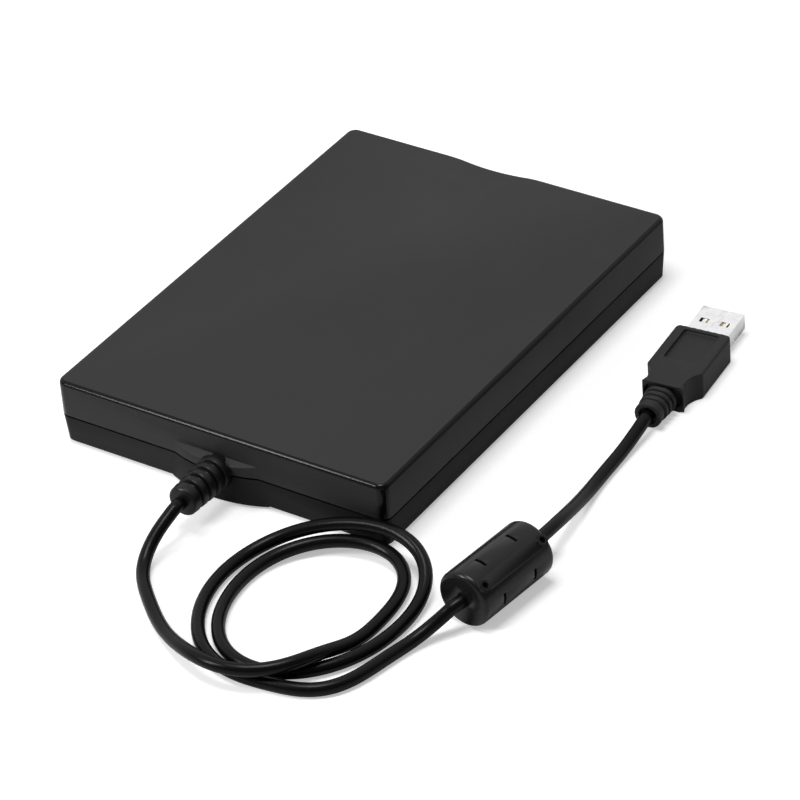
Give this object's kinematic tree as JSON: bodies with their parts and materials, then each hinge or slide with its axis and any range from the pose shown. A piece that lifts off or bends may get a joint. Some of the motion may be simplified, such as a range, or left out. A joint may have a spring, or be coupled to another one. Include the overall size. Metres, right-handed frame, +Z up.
{
  "type": "external floppy disk drive",
  "caption": "Flat portable external disk drive in a two-part dark case with a front slot, eject mechanism, and a coiled captive cable with a choke and plug.",
  "frame": {"origin": "centre of the case's outline (its rear bulge included) at the height of the feet", "axes": "+X to the right seen from the front, +Y out of the disk slot, +Z up; the cable leaves at -Y"},
  "size_m": [0.1464, 0.2071, 0.02],
  "materials": {
    "cover_plastic": "fine matte texture",
    "case_plastic": "fine matte texture",
    "rubber": "matte",
    "screw_steel": "satin",
    "bezel_plastic": "matte",
    "clear_green": "clear",
    "circuit_board": "solder mask",
    "plated_steel": "zinc plated",
    "chip_black": "matte",
    "flex_film": "satin",
    "copper": "enamelled winding",
    "bronze": "sintered",
    "ground_steel": "ground",
    "cord_rubber": "satin",
    "choke_plastic": "satin",
    "ferrite": "sintered",
    "plug_plastic": "fine matte texture",
    "nickel": "nickel plated",
    "white_plastic": "matte",
    "gold": "gold plated",
    "moving_plastic": "moulded",
    "head_ceramic": "polished"
  },
  "bodies": {
    "case": {"top_cover": "cover_plastic", "bottom_case": "case_plastic", "rubber_feet": "rubber", "case_screws": "screw_steel", "front_bezel": "bezel_plastic", "light_pipe": "clear_green", "status_led": "clear_green", "led_board": "circuit_board", "chassis": "plated_steel", "drive_cover": "plated_steel", "drive_screws": "screw_steel", "logic_board": "circuit_board", "logic_chips": "chip_black", "usb_board": "circuit_board", "usb_chips": "chip_black", "flex_cable": "flex_film", "motor_board": "circuit_board", "spindle_stator": "copper", "spindle_bearing": "bronze", "stepper_motor": "plated_steel", "guide_rod": "ground_steel", "media_switches": "chip_black", "cable_boot": "cord_rubber", "cord_lead": "cord_rubber", "cord_coil": "cord_rubber", "cord_link": "cord_rubber", "cord_tail": "cord_rubber", "choke_cord": "cord_rubber", "choke_cover": "choke_plastic", "choke_core": "ferrite", "plug_grip": "plug_plastic", "plug_shell": "nickel", "plug_tongue": "white_plastic", "plug_contacts": "gold"},
    "eject": {"eject_button": "bezel_plastic", "eject_slider": "plated_steel"},
    "carrier": {"disk_carrier": "plated_steel", "lever_pin": "ground_steel"},
    "lever": {"shutter_lever": "moving_plastic"},
    "carriage": {"head_carriage": "moving_plastic", "lower_head": "head_ceramic", "arm_pin": "ground_steel"},
    "arm": {"head_arm": "plated_steel", "upper_head": "head_ceramic"},
    "screw": {"lead_screw": "ground_steel"},
    "rotor": {"rotor_cup": "plated_steel", "rotor_magnet": "ferrite", "spindle_hub": "ground_steel"},
    "door": {"slot_door": "bezel_plastic"}
  },
  "joints": [
    {"name": "eject_slide", "type": "slide", "parent": "case", "child": "eject", "axis": [0, 1, 0], "range_m": [0, 0.005]},
    {"name": "carrier_lift", "type": "slide", "parent": "case", "child": "carrier", "axis": [0, 0, 1], "range_m": [-0.002, 0]},
    {"name": "shutter_lever_turn", "type": "hinge", "parent": "carrier", "child": "lever", "pos_m": [0.022, -0.019, 0.0139], "axis": [0, 0, 1], "range_deg": [0, 40]},
    {"name": "head_slide", "type": "slide", "parent": "case", "child": "carriage", "axis": [0, 1, 0], "range_m": [0, 0.0148]},
    {"name": "head_arm_lift", "type": "hinge", "parent": "carriage", "child": "arm", "pos_m": [0, -0.047, 0.0122], "axis": [1, 0, 0], "range_deg": [-11.55, 0]},
    {"name": "screw_turn", "type": "hinge", "parent": "case", "child": "screw", "pos_m": [0.013, -0.03, 0.0066], "axis": [0, 1, 0], "range_deg": [-5, 1425]},
    {"name": "spindle_spin", "type": "hinge", "parent": "case", "child": "rotor", "pos_m": [0, 0.0153, 0.0065], "axis": [0, 0, 1], "continuous": true},
    {"name": "slot_door_swing", "type": "hinge", "parent": "case", "child": "door", "pos_m": [0, 0.0675, 0.0155], "axis": [-1, 0, 0], "range_deg": [0, 85], "stiffness_Nm_per_rad": 0.0002}
  ],
  "couplings": [
    {"joint": "carrier_lift", "follows": "eject_slide", "ratio": -0.4},
    {"joint": "shutter_lever_turn", "follows": "eject_slide", "rad_per_m": 139.28},
    {"joint": "head_arm_lift", "follows": "eject_slide", "rad_per_m": -40.143},
    {"joint": "screw_turn", "follows": "head_slide", "rad_per_m": 1675.5}
  ]
}
